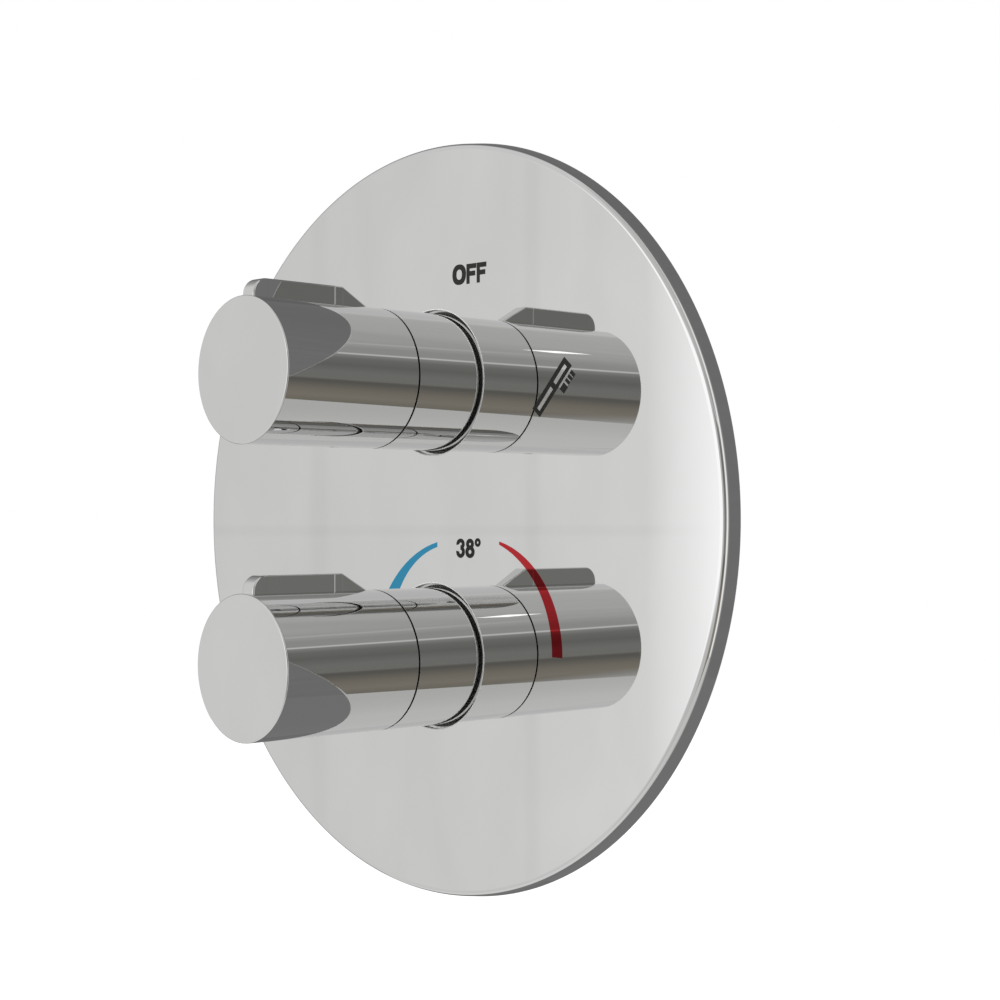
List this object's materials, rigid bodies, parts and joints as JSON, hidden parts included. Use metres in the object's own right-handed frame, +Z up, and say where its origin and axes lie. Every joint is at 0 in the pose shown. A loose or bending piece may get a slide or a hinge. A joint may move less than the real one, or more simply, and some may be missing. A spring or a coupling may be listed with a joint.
{
  "type": "thermostatic shower valve",
  "caption": "Concealed thermostatic shower valve: round chrome faceplate, flow and temperature lever handles, brass body with unions behind the wall.",
  "frame": {"origin": "middle of the faceplate, on the finished wall's surface", "axes": "+Z up, -Y out of the wall towards the user, +X to the user's right"},
  "size_m": [0.2198, 0.1377, 0.2198],
  "materials": {
    "polished_chrome": "mirror polished chrome plate",
    "black_rubber": "matte black rubber",
    "foam_gasket": "closed-cell foam",
    "cast_brass": "sand-cast brass with machined faces",
    "turned_brass": "turned brass",
    "white_acetal": "moulded acetal",
    "blue_grey_plastic": "moulded acetal",
    "alumina": "lapped ceramic",
    "stainless_steel": "drawn stainless steel",
    "dark_steel": "black-oxide steel",
    "copper": "drawn copper"
  },
  "bodies": {
    "valve": {"faceplate": "polished_chrome", "plate_gasket": "foam_gasket", "flow_seal_ring": "black_rubber", "temp_seal_ring": "black_rubber", "flow_sleeve": "polished_chrome", "temp_sleeve": "polished_chrome", "sleeve_orings": "black_rubber", "flow_fixed_disc": "alumina", "flow_base_seal": "black_rubber", "flow_cartridge_base": "white_acetal", "flow_cartridge_body": "white_acetal", "flow_cartridge_orings": "black_rubber", "flow_cartridge_nut": "turned_brass", "temp_cartridge_body": "turned_brass", "temp_cartridge_base": "turned_brass", "temp_cartridge_orings": "black_rubber", "temp_cartridge_nut": "turned_brass", "return_spring": "stainless_steel", "valve_body": "cast_brass", "gallery_plug": "turned_brass", "hot_inlet_union": "turned_brass", "cold_inlet_union": "turned_brass", "overhead_outlet_union": "turned_brass", "handset_outlet_union": "turned_brass", "union_orings": "black_rubber", "hot_check_housing": "blue_grey_plastic", "cold_check_housing": "blue_grey_plastic", "hot_check_spring": "stainless_steel", "cold_check_spring": "stainless_steel", "check_housing_orings": "black_rubber", "hot_strainer": "stainless_steel", "cold_strainer": "stainless_steel"},
    "flow_control": {"flow_handle": "polished_chrome", "flow_spline_insert": "white_acetal", "flow_grub_screw": "dark_steel", "flow_stop_ring": "white_acetal", "flow_spindle": "turned_brass", "flow_spindle_orings": "black_rubber", "flow_moving_disc": "alumina"},
    "temperature_control": {"temp_handle": "polished_chrome", "temp_spline_insert": "white_acetal", "temp_grub_screw": "dark_steel", "temp_stop_ring": "white_acetal", "temp_spindle": "turned_brass", "temp_spindle_orings": "black_rubber"},
    "drive_carriage": {"temp_drive_nut": "turned_brass", "overload_spring": "stainless_steel", "overload_plunger": "turned_brass", "overload_retaining_ring": "stainless_steel", "wax_piston": "stainless_steel"},
    "mixing_carriage": {"wax_element": "copper", "mixing_shuttle": "stainless_steel", "shuttle_oring": "black_rubber"},
    "hot_poppet": {"hot_check_poppet": "blue_grey_plastic"},
    "cold_poppet": {"cold_check_poppet": "blue_grey_plastic"}
  },
  "joints": [
    {"name": "flow_turn", "type": "hinge", "parent": "valve", "child": "flow_control", "pos_m": [0, 0, 0.04], "axis": [0, 1, 0], "range_deg": [-90, 90]},
    {"name": "temp_turn", "type": "hinge", "parent": "valve", "child": "temperature_control", "pos_m": [0, 0, -0.04], "axis": [0, 1, 0], "range_deg": [-90, 90]},
    {"name": "drive_shift", "type": "slide", "parent": "valve", "child": "drive_carriage", "axis": [0, 1, 0], "range_m": [-0.00075, 0.00075]},
    {"name": "wax_response", "type": "slide", "parent": "drive_carriage", "child": "mixing_carriage", "axis": [0, 1, 0], "range_m": [-0.00075, 0.00075], "stiffness_N_per_m": 500, "deforming": ["return_spring"]},
    {"name": "hot_check_lift", "type": "slide", "parent": "valve", "child": "hot_poppet", "axis": [1, 0, 0], "range_m": [0, 0.002], "stiffness_N_per_m": 100, "springref_m": -0.002, "deforming": ["hot_check_spring"]},
    {"name": "cold_check_lift", "type": "slide", "parent": "valve", "child": "cold_poppet", "axis": [-1, 0, 0], "range_m": [0, 0.002], "stiffness_N_per_m": 100, "springref_m": -0.002, "deforming": ["cold_check_spring"]}
  ],
  "couplings": [
    {"joint": "drive_shift", "follows": "temp_turn", "m_per_rad": 0.0004774}
  ]
}
